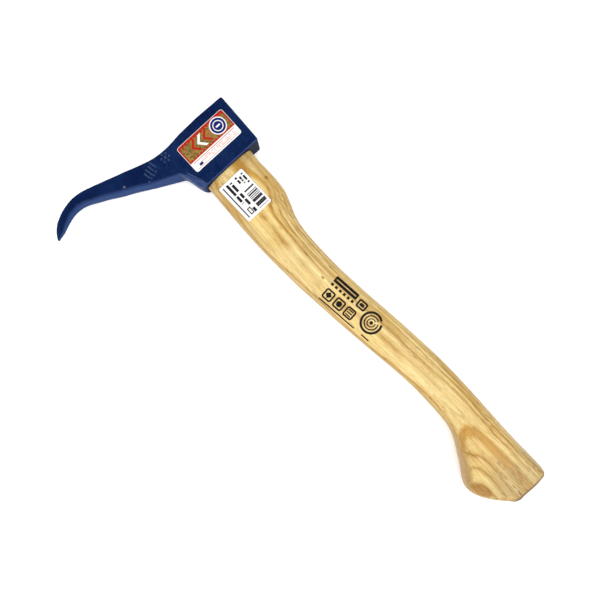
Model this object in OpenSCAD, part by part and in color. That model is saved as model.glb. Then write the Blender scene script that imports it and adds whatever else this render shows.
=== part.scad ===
// Pickaroon: a short log-moving hook with a curved forged spike, on an ash handle with a fawn foot.
// The tool lies on its side. X runs along the handle from the grip to the head, Y the way the spike
// points, and Z up through the thickness. The origin is on the eye's axis, in the plane of the lower cheek.

/* [Head] */
// Thickness of the head across its two flat cheeks
cheek_t = 32; // [28:0.5:36]
// Height of the head's top face above the middle of the eye
top_x = 21.5; // [20:0.5:24]
// Distance of the poll's face behind the eye's axis
poll_y = 32; // [30:0.5:36]
// Reach of the spike's point in front of the eye's axis
spike_reach = 144; // [132:1:156]
// Thickness of the spike where it grows out of the eye
root_t = 24; // [20:0.5:27]
// Thickness of the spike's very point
point_t = 2; // [1:0.25:4]
// Bevel along the edges of the poll and the top face
edge_bevel = 1.5; // [0.5:0.25:2.5]

/* [Eye] */
// Length of the eye, from the poll side to the spike side, at its bottom
eye_l = 46; // [42:0.5:46.5]
// Width of the eye between the cheeks, at its bottom
eye_w = 21; // [18:0.5:23]
// How much wider the eye is at its top than at its bottom
eye_flare = 1.06; // [1.01:0.01:1.1]

/* [Handle] */
// Length of the handle from the middle of the eye to the butt
grip_l = 378; // [340:1:450]
// Thickness of the handle along the grip
grip_t = 24; // [20:0.5:27]
// Thickness of the swell at the butt
foot_t = 31; // [26:0.5:32]
// Room between the tang and the eye's wall
tang_gap = 0.1; // [0.05:0.05:0.3]
// How far the tang stands out of the head's top face
tang_stand = 1; // [0:0.5:3]

/* [Wedges] */
// Length of the wooden wedge along the eye
wedge_l = 41; // [30:1:42]
// Thickness of the wooden wedge at its top
wedge_t = 5; // [3:0.5:7]
// Depth of the wooden wedge in the tang
wedge_d = 34; // [24:1:38]
// Length of the steel wedge across the eye
cross_l = 15; // [10:0.5:16]
// Thickness of the steel wedge at its top
cross_t = 3; // [2:0.25:4]
// Depth of the steel wedge
cross_d = 20; // [12:1:22]

/* [Labels] */
// Length of the label on the cheek
head_label_l = 48; // [30:0.5:50]
// Width of the label on the cheek
head_label_w = 25; // [15:0.5:27]
// Length of the sticker, along the handle
tag_l = 35.5; // [20:0.5:38]
// Width of the sticker, across the handle
tag_w = 25; // [15:0.5:28]
// Thickness of the label and the sticker
label_t = 0.2; // [0.1:0.05:0.4]

/* [Hidden] */
$fn = 64;

mid_z = cheek_t / 2;
ring_n = 36;
fit = 0.05;

// A smooth curve through hand-chosen points, with m steps between each two.
function cr(a, b, c, d, t) = 0.5 * (2 * b + (c - a) * t + (2 * a - 5 * b + 4 * c - d) * t * t
    + (3 * b - a - 3 * c + d) * t * t * t);
function curve(p, m) = let (n = len(p)) concat(
    [for (i = [0 : n - 2]) for (k = [0 : m - 1])
        cr(p[max(i - 1, 0)], p[i], p[i + 1], p[min(i + 2, n - 1)], k / m)],
    [p[n - 1]]);

// Points of an oval between yf and yb, b thick each way from the middle, where e squares its corners.
function sgn_pow(c, e) = sign(c) * pow(abs(c), 2 / e);
function oval(yf, yb, b, e) = [for (i = [0 : ring_n - 1]) let (t = (i + 0.5) * 360 / ring_n)
    [(yf + yb) / 2 + (yf - yb) / 2 * sgn_pow(cos(t), e), b * sgn_pow(sin(t), e)]];

// Head, seen from the side: the back and the belly of the spike, from the eye to the point.
function stretch(p) = [p[0], 30 + (p[1] - 30) * (spike_reach - 30) / 114];
spike_back = [[21.5, -6], [20.5, 12], [19.2, 26], [20.2, 39], [23.6, 51], [28.4, 66], [32.8, 80], [37.5, 94],
    [40.4, 104], [41.5, 113], [39.2, 124], [35.2, 134], [30.5, 140.8]];
spike_belly = [[24, 143], [27, 136], [30, 129.5], [32.3, 122.5], [33.2, 115], [32.2, 108], [28.5, 99],
    [24.5, 90], [20, 81.5], [13.5, 67.5], [7, 55], [2, 44], [-3, 33.5]];
eye_front = [[-6, 31.5], [-10, 30.4], [-17, 28.5], [-21.4, 27], [-23.6, 25], [-24.3, 22]];

function lift(p) = p[1] < 30 ? [p[0] + (top_x - 21.5) * max(0, min(1, (30 - p[1]) / 30)), p[1]] : stretch(p);
side_outline = concat(
    [[-22.8, -poll_y + 0.6], [-22.2, -poll_y], [top_x - 1, -poll_y], [top_x, -poll_y + 1]],
    [for (p = curve(spike_back, 5)) lift(p)],
    [stretch([26, 144.5])],
    [for (p = curve(spike_belly, 5)) p[1] < 30 ? p : stretch(p)],
    curve(eye_front, 3));

// Half thickness of the head along Y, from the poll to the point.
spike_half_t = [[44, 12], [57, 10.5], [70, 10], [84, 9.5], [95, 8.5], [105, 7.3], [114, 6.1], [123, 4.9], [130, 4],
    [136, 2.9], [141, 1.8]];
half_t = concat(
    [[-poll_y, cheek_t / 2 - edge_bevel], [-poll_y + edge_bevel, cheek_t / 2], [17, cheek_t / 2],
        [30, (cheek_t + root_t) / 4 + 0.5]],
    [for (p = spike_half_t) [stretch([0, p[0]])[1], p[1] * root_t / 24]],
    [[stretch([0, 145])[1], point_t / 2]]);
plan_outline = concat(
    [for (p = half_t) [p[0], mid_z + p[1]]],
    [for (i = [len(half_t) - 1 : -1 : 0]) [half_t[i][0], mid_z - half_t[i][1]]]);

module prism_x(x0, x1) {
    translate([x0, 0, 0]) rotate([90, 0, 90]) linear_extrude(x1 - x0) children();
}

// The eye runs along X and opens out towards the top.
module eye_hole() {
    translate([-30, 0, mid_z]) rotate([90, 0, 90])
        linear_extrude(height = top_x + 32, scale = eye_flare)
            polygon(oval(eye_l / 2, -eye_l / 2, eye_w / 2, 2.6));
}

// Slanted flank on the front of the eye, from the cheek's ridge down to the nose.
module eye_flank() {
    translate([-4, 31, cheek_t]) rotate([0, 0, 23.5]) rotate([-58, 0, 0])
        translate([-40, -10, 0]) cube([40, 60, 30]);
}

module head() {
    color([0.13, 0.2, 0.36])
    difference() {
        intersection() {
            linear_extrude(cheek_t) polygon(side_outline);
            prism_x(-40, 60) polygon(plan_outline);
        }
        eye_hole();
        eye_flank();
        translate([0, 0, cheek_t]) mirror([0, 0, 1]) eye_flank();
        // bevels along the top face
        for (m = [0, 1]) translate([0, 0, m * cheek_t]) mirror([0, 0, m])
            translate([top_x - edge_bevel, -60, 0]) rotate([0, 45, 0])
                translate([0, 0, -8]) cube([8, 88, 8]);
    }
}

// Handle: [x, front edge, back edge, half thickness, squareness] from the tang to the butt.
g = grip_t / 2;
f = foot_t / 2;
eye_e = 2.6;
grip_rows = [
    [-34, 23.2, -22.8, g - 0.2, 2.8],
    [-45, 23.4, -23.5, g, 2.8],
    [-56, 23.6, -23.8, g, 2.8],
    [-66, 23.7, -23, g, 2.8],
    [-76, 23.5, -20.1, g, 2.8],
    [-86, 23.3, -16.5, g, 2.8],
    [-96, 22.9, -14.5, g, 2.8],
    [-106, 22.3, -13.9, g, 2.8],
    [-118, 21.3, -14.1, g, 2.7],
    [-136, 19.7, -14.9, g, 2.6],
    [-155, 17.2, -16.7, g, 2.6],
    [-175, 14.6, -19.2, g, 2.6],
    [-195, 11.8, -22.1, g, 2.6],
    [-215, 8.8, -24.8, g, 2.6],
    [-235, 5.7, -27.2, g, 2.6],
    [-254, 3.1, -29.2, g, 2.6],
    [-272, 1.8, -30.2, g + 0.5, 2.6],
    [-288, 1.5, -30.8, g + 1, 2.6],
    [-298, 1.8, -31, g + 1.6, 2.6],
    [-306, 3.4, -31, (g + f) / 2 + 0.2, 2.7],
    [-314, 6.5, -31.2, f - 1, 2.8],
    [-322, 10.5, -31.3, f - 0.6, 2.9],
    [-330, 14.9, -31.4, f - 0.3, 3],
    [-337, 19.4, -31.6, f - 0.1, 3.1],
    [-342, 22.5, -31.8, f, 3.2],
    [-346, 24, -32, f, 3.3],
    [-350, 23.8, -32.2, f, 3.4],
    [-354.5, 22, -32.6, f, 3.5],
    [-359.5, 19, -32.9, f, 3.6],
    [-364.5, 15.2, -33.3, f - 0.1, 3.6],
    [-369, 11.2, -33.5, f - 0.3, 3.6],
    [-373, 7.4, -33.1, f - 0.6, 3.6],
    [-375.5, 4.9, -31.8, f - 1.1, 3.5],
    [-377.2, 3.1, -29.6, f - 2.1, 3.4],
    [-378, 1.5, -26.6, f - 3.6, 3.2]];

// The rows stretch with the handle's length; the shoulder under the head stays.
function place(r) = [r[0] < -34 ? -34 + (r[0] + 34) * (grip_l - 34) / 344 : r[0], r[1], r[2], r[3], r[4]];
function eye_k(x) = 1 + (eye_flare - 1) * (x + 30) / (top_x + 32);
function tang_row(x) = [x, eye_k(x) * eye_l / 2 - tang_gap, -eye_k(x) * eye_l / 2 + tang_gap,
    eye_k(x) * eye_w / 2 - tang_gap, eye_e];
handle_rows = concat(
    [tang_row(top_x + tang_stand), tang_row(top_x), tang_row(top_x / 2), tang_row(0), tang_row(-14), tang_row(-28)],
    [for (r = curve(grip_rows, 2)) place(r)]);

function ring(r) = [for (p = oval(r[1], r[2], r[3], r[4])) [r[0], p[0], mid_z + p[1]]];

// A closed skin over a row of rings that all have ring_n points.
module loft(rings) {
    n = len(rings);
    m = len(rings[0]);
    pts = concat([for (r = rings) for (p = r) p],
        [[for (k = [0 : 2]) (rings[0][0][k] + rings[0][m / 2][k]) / 2],
         [for (k = [0 : 2]) (rings[n - 1][0][k] + rings[n - 1][m / 2][k]) / 2]]);
    polyhedron(points = pts, faces = concat(
        [for (i = [0 : n - 2]) for (j = [0 : m - 1]) [i * m + j, i * m + (j + 1) % m, (i + 1) * m + j]],
        [for (i = [0 : n - 2]) for (j = [0 : m - 1]) [i * m + (j + 1) % m, (i + 1) * m + (j + 1) % m, (i + 1) * m + j]],
        [for (j = [0 : m - 1]) [n * m, (j + 1) % m, j]],
        [for (j = [0 : m - 1]) [n * m + 1, (n - 1) * m + j, (n - 1) * m + (j + 1) % m]]), convexity = 6);
}

// Taper in the XZ plane that the wooden wedge and its kerf share; o widens it.
module wedge_shape(o) {
    x1 = top_x + tang_stand;
    translate([0, (wedge_l + 2 * o) / 2, mid_z]) rotate([90, 0, 0]) linear_extrude(wedge_l + 2 * o)
        polygon([[x1 + 2 * o, -wedge_t / 2 - o], [x1 + 2 * o, wedge_t / 2 + o],
            [x1 - wedge_d - o, 0.4 + o], [x1 - wedge_d - o, -0.4 - o]]);
}

// Taper in the XY plane that the steel wedge and its slot share; o widens it.
module cross_shape(o) {
    x1 = top_x + tang_stand;
    translate([0, 2, mid_z - cross_l / 2 - o]) linear_extrude(cross_l + 2 * o)
        polygon([[x1 + 2 * o, -cross_t / 2 - o], [x1 + 2 * o, cross_t / 2 + o],
            [x1 - cross_d - o, 0.3 + o], [x1 - cross_d - o, -0.3 - o]]);
}

module handle() {
    color([0.86, 0.74, 0.5])
    difference() {
        loft([for (r = handle_rows) ring(r)]);
        wedge_shape(fit);
        cross_shape(fit);
    }
}

module eye_wedge() {
    color([0.7, 0.55, 0.34])
    difference() {
        wedge_shape(0);
        cross_shape(fit);
    }
}

module cross_wedge() {
    color([0.5, 0.51, 0.53]) cross_shape(0);
}

module rounded_plate(l, w, r, t) {
    linear_extrude(t) {
        square([l - 2 * r, w], center = true);
        square([l, w - 2 * r], center = true);
        for (x = [-1, 1]) for (y = [-1, 1]) translate([x * (l / 2 - r), y * (w / 2 - r)]) circle(r);
    }
}

// Label on the upper cheek, with its long side across the handle.
module head_label() {
    color([0.72, 0.22, 0.14])
    translate([1, -2, cheek_t]) rotate([0, 0, 91.5]) rounded_plate(head_label_l, head_label_w, 2, label_t);
}

// Height of the handle's skin above its middle at a place in the grip.
function row_at(x) = let (k = [for (i = [0 : len(handle_rows) - 2])
        if (handle_rows[i][0] >= x && handle_rows[i + 1][0] < x) i][0],
        a = handle_rows[k], b = handle_rows[k + 1], t = (x - a[0]) / (b[0] - a[0])) a + (b - a) * t;
function skin_z(x, y) = let (r = row_at(x), a = (r[1] - r[2]) / 2, c = (r[1] + r[2]) / 2)
    r[3] * pow(1 - pow(min(0.999, abs((y - c) / a)), r[4]), 1 / r[4]);

// Sticker that follows the round of the handle just under the head.
tag_x = -49.5;
tag_y = 4.5;
tag_turn = 2.5;
tag_nx = 14;
tag_ny = 10;
module handle_label() {
    pts = [for (s = [0, 1]) for (i = [0 : tag_nx]) for (j = [0 : tag_ny])
        let (u = (i / tag_nx - 0.5) * tag_l, v = (j / tag_ny - 0.5) * tag_w,
            x = tag_x + u * cos(tag_turn) - v * sin(tag_turn), y = tag_y + u * sin(tag_turn) + v * cos(tag_turn))
        [x, y, mid_z + skin_z(x, y) + 0.03 + s * label_t]];
    w = tag_ny + 1;
    n = (tag_nx + 1) * w;
    color([0.93, 0.93, 0.9])
    polyhedron(points = pts, faces = concat(
        [for (i = [0 : tag_nx - 1]) for (j = [0 : tag_ny - 1]) [i * w + j, (i + 1) * w + j, i * w + j + 1]],
        [for (i = [0 : tag_nx - 1]) for (j = [0 : tag_ny - 1]) [(i + 1) * w + j, (i + 1) * w + j + 1, i * w + j + 1]],
        [for (i = [0 : tag_nx - 1]) for (j = [0 : tag_ny - 1]) [n + i * w + j, n + i * w + j + 1, n + (i + 1) * w + j]],
        [for (i = [0 : tag_nx - 1]) for (j = [0 : tag_ny - 1]) [n + (i + 1) * w + j, n + i * w + j + 1, n + (i + 1) * w + j + 1]],
        [for (i = [0 : tag_nx - 1]) [i * w, n + i * w, (i + 1) * w]],
        [for (i = [0 : tag_nx - 1]) [(i + 1) * w, n + i * w, n + (i + 1) * w]],
        [for (i = [0 : tag_nx - 1]) [i * w + tag_ny, (i + 1) * w + tag_ny, n + i * w + tag_ny]],
        [for (i = [0 : tag_nx - 1]) [(i + 1) * w + tag_ny, n + (i + 1) * w + tag_ny, n + i * w + tag_ny]],
        [for (j = [0 : tag_ny - 1]) [j, j + 1, n + j]],
        [for (j = [0 : tag_ny - 1]) [j + 1, n + j + 1, n + j]],
        [for (j = [0 : tag_ny - 1]) [tag_nx * w + j, n + tag_nx * w + j, tag_nx * w + j + 1]],
        [for (j = [0 : tag_ny - 1]) [tag_nx * w + j + 1, n + tag_nx * w + j, n + tag_nx * w + j + 1]]));
}

head();
handle();
eye_wedge();
cross_wedge();
head_label();
handle_label();
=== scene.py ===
# Pickaroon, laid on its side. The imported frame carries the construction; the head, the handle and its
# small parts are modelled here as closed skins over distance fields, and every surface is procedural.
import math

import bpy
import numpy as np
from mathutils import Matrix, Vector


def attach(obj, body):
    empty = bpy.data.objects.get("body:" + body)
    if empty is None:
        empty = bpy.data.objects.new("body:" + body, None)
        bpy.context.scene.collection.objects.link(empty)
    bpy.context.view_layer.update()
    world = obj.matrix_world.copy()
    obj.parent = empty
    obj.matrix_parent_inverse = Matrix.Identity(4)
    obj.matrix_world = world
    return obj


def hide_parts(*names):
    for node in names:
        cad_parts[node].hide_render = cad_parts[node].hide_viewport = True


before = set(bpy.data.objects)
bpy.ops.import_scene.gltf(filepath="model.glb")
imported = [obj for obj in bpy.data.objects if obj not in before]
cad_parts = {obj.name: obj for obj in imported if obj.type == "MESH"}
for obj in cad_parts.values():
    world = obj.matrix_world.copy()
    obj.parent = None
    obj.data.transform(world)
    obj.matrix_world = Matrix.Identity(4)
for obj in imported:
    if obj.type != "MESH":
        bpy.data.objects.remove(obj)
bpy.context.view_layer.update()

# ---------------------------------------------------------------- numbers
# All shapes are worked out in millimetres, in the frame's own axes, and scaled to metres at the end.

MID = 16.0


def lattice(i, j, k, seed):
    h = (i * 73856093) ^ (j * 19349663) ^ (k * 83492791) ^ (seed * 26544357)
    h = ((h ^ (h >> 13)) * 1274126177) & 0xFFFFFFFF
    return ((h ^ (h >> 16)) & 0xFFFFFF) / float(0x800000) - 1.0


def noise3(p, scale, seed=0):
    """Smooth value noise from -1 to 1."""
    q = np.asarray(p, float) / scale
    b = np.floor(q).astype(np.int64)
    f = q - b
    f = f * f * f * (f * (f * 6 - 15) + 10)
    out = 0.0
    for di in (0, 1):
        wx = f[:, 0] if di else 1 - f[:, 0]
        for dj in (0, 1):
            wy = f[:, 1] if dj else 1 - f[:, 1]
            for dk in (0, 1):
                wz = f[:, 2] if dk else 1 - f[:, 2]
                out = out + wx * wy * wz * lattice(b[:, 0] + di, b[:, 1] + dj, b[:, 2] + dk, seed)
    return out


def smax(a, b, k):
    """The larger of two fields, with the edge between them rounded over about k millimetres."""
    h = np.maximum(k - np.abs(a - b), 0) / k
    return np.maximum(a, b) + h * h * k * 0.25


def smin(a, b, k):
    return -smax(-a, -b, k)


def step(a, b, x):
    t = np.clip((x - a) / (b - a), 0, 1)
    return t * t * (3 - 2 * t)


def curve(p, m):
    """A Catmull-Rom line through given points, m steps between each two."""
    p = np.asarray(p, float)
    n = len(p)
    out = []
    for i in range(n - 1):
        a, b, c, d = p[max(i - 1, 0)], p[i], p[i + 1], p[min(i + 2, n - 1)]
        for s in range(m):
            t = s / m
            out.append(0.5 * (2 * b + (c - a) * t + (2 * a - 5 * b + 4 * c - d) * t * t
                              + (3 * b - a - 3 * c + d) * t * t * t))
    out.append(p[-1])
    return np.array(out)


def outline_distance(p, poly):
    """Signed distance from points to a closed outline, negative inside."""
    d = np.full(len(p), 1e18)
    inside = np.zeros(len(p), bool)
    nxt = np.roll(poly, -1, 0)
    for a, b in zip(poly, nxt):
        e = b - a
        if not e.any():
            continue
        w0, w1 = p[:, 0] - a[0], p[:, 1] - a[1]
        t = np.clip((w0 * e[0] + w1 * e[1]) / (e @ e), 0, 1)
        q0, q1 = w0 - t * e[0], w1 - t * e[1]
        np.minimum(d, q0 * q0 + q1 * q1, out=d)
        if a[1] != b[1]:
            c = (a[1] <= p[:, 1]) != (b[1] <= p[:, 1])
            inside ^= c & (p[:, 0] < a[0] + w1 * e[0] / e[1])
    return np.where(inside, -1, 1) * np.sqrt(d)


class Sheet:
    """An outline's signed distance, kept on a fine square grid and read back with cubic steps."""

    def __init__(self, poly, pad=5.0, h=0.5):
        lo, hi = poly.min(0) - pad, poly.max(0) + pad
        n = np.ceil((hi - lo) / h).astype(int) + 1
        xs, ys = lo[0] + h * np.arange(n[0]), lo[1] + h * np.arange(n[1])
        g = np.stack(np.meshgrid(xs, ys, indexing="ij"), -1).reshape(-1, 2)
        self.v = outline_distance(g, poly).reshape(n)
        self.lo, self.h, self.n = lo, h, n

    def __call__(self, x, y):
        q0 = np.clip((x - self.lo[0]) / self.h, 1, self.n[0] - 2.001)
        q1 = np.clip((y - self.lo[1]) / self.h, 1, self.n[1] - 2.001)
        i, j = q0.astype(int), q1.astype(int)
        s, t = q0 - i, q1 - j

        def w(f):
            return (0.5 * (-f + 2 * f * f - f * f * f), 0.5 * (2 - 5 * f * f + 3 * f * f * f),
                    0.5 * (f + 4 * f * f - 3 * f * f * f), 0.5 * (-f * f + f * f * f))
        ws, wt = w(s), w(t)
        out = 0.0
        for a in range(4):
            row = 0.0
            for b in range(4):
                row = row + wt[b] * self.v[np.minimum(i + a - 1, self.n[0] - 1), np.minimum(j + b - 1, self.n[1] - 1)]
            out = out + ws[a] * row
        return out


def surface(field, lo, hi, h, anchor, rounds=3):
    """A closed skin of quads over field = 0, with its points moved onto the field."""
    lo, hi = np.asarray(lo, float), np.asarray(hi, float)
    anchor = np.asarray(anchor, float)
    lo = anchor - np.ceil((anchor - lo) / h) * h
    n = np.ceil((hi - lo) / h).astype(int) + 1
    ax = [lo[a] + h * np.arange(n[a]) for a in range(3)]
    F = np.empty(n)
    slab = max(1, int(400000 / (n[1] * n[2])))
    for s in range(0, n[0], slab):
        g = np.stack(np.meshgrid(ax[0][s:s + slab], ax[1], ax[2], indexing="ij"), -1)
        F[s:s + slab] = field(g.reshape(-1, 3)).reshape(g.shape[:3])
    F[F == 0] = 1e-9
    S = F < 0
    count = sum(S[a:n[0] - 1 + a, b:n[1] - 1 + b, c:n[2] - 1 + c].astype(np.int8)
                for a in (0, 1) for b in (0, 1) for c in (0, 1))
    act = (count > 0) & (count < 8)
    cell = np.argwhere(act)
    index = np.full(act.shape, -1, np.int64)
    index[act] = np.arange(len(cell))
    acc = np.zeros((len(cell), 3))
    hits = np.zeros(len(cell))
    corners = [(a, b, c) for a in (0, 1) for b in (0, 1) for c in (0, 1)]
    for A in corners:
        for axis in range(3):
            if A[axis]:
                continue
            B = list(A)
            B[axis] = 1
            fa = F[cell[:, 0] + A[0], cell[:, 1] + A[1], cell[:, 2] + A[2]]
            fb = F[cell[:, 0] + B[0], cell[:, 1] + B[1], cell[:, 2] + B[2]]
            m = (fa < 0) != (fb < 0)
            t = fa[m] / (fa[m] - fb[m])
            at = np.tile(np.array(A, float), (int(m.sum()), 1))
            at[:, axis] += t
            acc[m] += at
            hits[m] += 1
    v = lo + h * (cell + acc / hits[:, None])
    quads = []
    for axis in range(3):
        o1, o2 = (axis + 1) % 3, (axis + 2) % 3
        a = np.take(S, range(n[axis] - 1), axis)
        b = np.take(S, range(1, n[axis]), axis)
        e = np.argwhere(a != b)
        e = e[(e[:, o1] > 0) & (e[:, o2] > 0) & (e[:, o1] < n[o1] - 1) & (e[:, o2] < n[o2] - 1)]
        flip = ~S[e[:, 0], e[:, 1], e[:, 2]]
        ids = []
        for d1, d2 in ((1, 1), (0, 1), (0, 0), (1, 0)):
            c = e.copy()
            c[:, o1] -= d1
            c[:, o2] -= d2
            ids.append(index[c[:, 0], c[:, 1], c[:, 2]])
        q = np.stack(ids, 1)
        q[flip] = q[flip][:, ::-1]
        quads.append(q)
    q = np.concatenate(quads)
    start = v.copy()
    for _ in range(rounds):
        f, g = slope(field, v)
        v = v - np.clip(f / np.maximum((g * g).sum(1), 0.05), -0.4 * h, 0.4 * h)[:, None] * g
    far = np.linalg.norm(v - start, axis=1) > 0.8 * h
    v[far] = start[far]
    g = slope(field, v)[1]
    return v, q, g / np.maximum(np.linalg.norm(g, axis=1), 1e-9)[:, None]


def slope(field, p, e=0.04):
    """The field and its gradient."""
    g = np.empty_like(p)
    for a in range(3):
        d = np.zeros(3)
        d[a] = e
        g[:, a] = (field(p + d) - field(p - d)) / (2 * e)
    return field(p), g


# ---------------------------------------------------------------- head
SPIKE_BACK = [(21.5, -6), (20.5, 12), (19.2, 26), (20.2, 39), (23.6, 51), (28.4, 66), (32.8, 80), (37.5, 94),
              (40.4, 104), (41.5, 113), (39.5, 124.1), (35.8, 133.4), (32.9, 137.8), (29.9, 141.2)]
SPIKE_BELLY = [(23.7, 144.1), (25.4, 140), (27, 136), (30, 129.5), (32.3, 122.5), (33.2, 115), (32.2, 108), (28.5, 99),
               (24.5, 90), (20, 81.5), (13.5, 67.5), (7, 55), (2.2, 43.9), (-2.4, 33.2)]
EYE_FRONT = [(-5.8, 31.1), (-10, 30.2), (-17, 28.5), (-21.4, 27.0), (-23.6, 25.0), (-24.3, 22)]
side_outline = np.vstack([
    [(-22.9, -28), (-22.9, -30.8), (-22.7, -31.7), (-22.0, -32), (20.3, -32), (21.0, -31.6), (21.4, -30.9)],
    curve(SPIKE_BACK, 8), [(27.2, 143.2), (25.0, 144.35)], curve(SPIKE_BELLY, 8), curve(EYE_FRONT, 6)])
side = Sheet(side_outline)
HALF_T = curve([(-60, 16), (-20, 16), (0, 16), (17, 15.9), (30, 14.5), (44, 12.1), (57, 10.6), (70, 10), (84, 9.5), (95, 8.5),
                (105, 7.3), (114, 6.1), (123, 4.9), (130, 4), (136, 3.0), (141, 2.1), (145, 1.35), (150, 0.6)], 10)


def half_thick(y):
    return np.interp(y, HALF_T[:, 0], HALF_T[:, 1])


def bore(x, y, z):
    """Signed distance from the eye's wall, negative in the eye."""
    k = 1 + 0.06 * (x + 30) / 53.5
    a, b, n = 23 * k, 10.5 * k, 2.6
    s, t = np.abs(y) / a, np.abs(z - MID) / b
    q = s ** n + t ** n
    r = q ** (1 / n)
    grad = np.hypot(s ** (n - 1) / a, t ** (n - 1) / b) * np.maximum(q, 1e-9) ** (1 / n - 1)
    return (r - 1) / np.maximum(grad, 0.03)


FLANK = math.radians(25.5)
FX, FY = np.array([math.cos(FLANK), math.sin(FLANK)]), np.array([-math.sin(FLANK), math.cos(FLANK)])


def marks(x, y):
    """Low plain pips and bars that the die left on the spike's root, as a height."""
    h = np.zeros_like(x)

    def disc(cx, cy, r, up):
        d = np.hypot(x - cx, y - cy)
        return up * (1 - step(r - 0.45, r + 0.4, d))

    def bar(cx, cy, length, width, turn, up):
        c, s = math.cos(turn), math.sin(turn)
        u, v = (x - cx) * c + (y - cy) * s, -(x - cx) * s + (y - cy) * c
        d = np.hypot(np.maximum(np.abs(u) - length / 2, 0), np.maximum(np.abs(v) - width / 2, 0))
        return up * (1 - step(-0.05, 0.62, d))
    for k in range(6):
        a = math.radians(60 * k + 12)
        h = np.maximum(h, disc(14.6 + 3.4 * math.cos(a), 33 + 3.4 * math.sin(a), 0.85, 0.46))
    h = np.maximum(h, disc(14.6, 33, 1.2, 0.46))
    for k in range(4):
        h = np.maximum(h, bar(17.4 - 1.1 * k, 44.5 + 3.1 * k, 6.2 - 1.1 * (k % 2), 0.6, math.radians(12), 0.48))
        h = np.maximum(h, disc(11.8 - 0.8 * k, 46.2 + 3.1 * k, 0.75, 0.42))
    return h


def ribs(x, y):
    """Two ridges close together along the upper edge of the flank, 1 on their crests."""
    dx, dy = x + 3.0, y - 31.6
    along, out = dx * FX[0] + dy * FX[1], dx * FY[0] + dy * FY[1]
    both = np.exp(-((out + 1.9 + 0.04 * along) / 0.5) ** 2) + 0.9 * np.exp(-((out + 0.1) / 0.45) ** 2)
    return both * step(-1, -6, along) * step(-24, -19, along)


def head_field(p, parts=False):
    x, y, z = p[:, 0], p[:, 1], p[:, 2]
    az = np.abs(z - MID)
    f_side = side(x, y) - 0.3 * (1 - step(40.4, 41.6, x)) * (1 - step(138, 143, y))
    t0, t1 = half_thick(y - 0.5), half_thick(y + 0.5)
    f_cheek = (az - half_thick(y)) / np.sqrt(1 + (t1 - t0) ** 2)
    # the root of the spike is a little hollow across its side, and its middle a little full further out
    f_cheek = f_cheek + 0.5 * step(22, 36, y) * (1 - step(46, 66, y)) * np.exp(-((x - 6) / 9.0) ** 2)
    dx, dy = x - (-3.0), y - 31.6
    along, out = dx * FX[0] + dy * FX[1], dx * FY[0] + dy * FY[1]
    steep = out * math.sin(math.radians(57)) + (az - 15.2) * math.cos(math.radians(57))
    easy = (out + 2.3) * math.sin(math.radians(19)) + (az - 16.05) * math.cos(math.radians(19))
    flank = smin(smax(steep, easy, 0.5), -along + 1.5, 5.0)
    # the spike's edge is rounder on the side of its belly
    middle = np.interp(y, [36, 55, 80, 99, 115, 125, 135, 145], [8, 15.9, 26, 33.7, 37.2, 35.5, 31.2, 26])
    belly = step(2.0, -2.0, x - middle) * step(38, 62, y) * (1 - step(120, 138, y))
    f = smax(f_side, f_cheek, 1.3 - 0.2 * step(30, 50, y) + 1.7 * belly)
    f = smax(f, flank, 1.1)
    # two low ribs along the flank's upper edge
    f = f - 0.3 * ribs(x, y) * step(12.5, 14.5, az)
    f_bore = -bore(x, y, z)
    f = smax(f, f_bore, 1.3)
    near = np.abs(f) < 2.0
    if near.any():
        q = p[near]
        lumps = 0.5 + 0.5 * noise3(q, 13.0, 3)
        small = 0.5 + 0.5 * noise3(q, 4.2, 7)
        forged = 0.35 + 0.65 * step(10, 34, q[:, 1])
        f = f.copy()
        wall = step(-0.4, 0.4, (f_side - f_cheek)[near])
        f[near] += (0.16 * lumps + 0.09 * small - 0.11 * wall) * forged
        f[near] -= marks(q[:, 0], q[:, 1]) * step(MID + 4, MID + 7, q[:, 2])
    if parts:
        return f, np.sort(np.stack([f_side, f_cheek, flank, f_bore], 1), 1)[:, -2]
    return f


# ---------------------------------------------------------------- handle
GRIP = [(-34, 23.2, -22.8), (-45, 23.4, -23.5), (-56, 23.6, -23.8), (-66, 23.7, -23), (-76, 23.5, -20.1),
        (-86, 23.3, -16.5), (-96, 22.9, -14.5), (-106, 22.3, -13.9), (-118, 21.3, -14.1), (-136, 19.7, -14.9),
        (-155, 17.2, -16.7), (-175, 14.6, -19.2), (-195, 11.7, -22.1), (-215, 8.6, -24.8), (-235, 5.4, -27.2),
        (-254, 2.9, -29.2), (-272, 1.8, -30.2), (-288, 1.5, -30.8), (-298, 2.0, -31), (-306, 3.7, -31),
        (-314, 6.8, -31.2), (-322, 10.8, -31.3), (-330, 14.9, -31.4), (-337, 19.4, -31.6), (-342, 22.5, -31.8),
        (-346, 24, -32), (-350, 23.8, -32.2), (-354.5, 22, -32.6), (-359.5, 19, -32.9), (-364.5, 15.2, -33.25),
        (-369, 11.4, -33.4), (-372.3, 8.4, -33.4), (-375.2, 5.7, -33.4), (-377.5, 3.5, -33.4), (-380, 1.0, -33.4), (-384, -3.0, -33.4)]
HALF_B = curve([(40, 11.0), (22.5, 11.01), (-22.5, 10.44), (-27, 10.75), (-33, 11.3), (-40, 11.75), (-50, 12), (-150, 12), (-254, 12), (-272, 12.5), (-288, 13),
                (-298, 13.6), (-306, 14.1), (-314, 14.6), (-322, 14.95), (-330, 15.2), (-337, 15.35), (-346, 15.45), (-368, 15.45),
                (-384, 15.45)], 6)[::-1]
grip = curve(GRIP, 6)


def eye_k(x):
    return 1 + 0.06 * (x + 30) / 53.5


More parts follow.
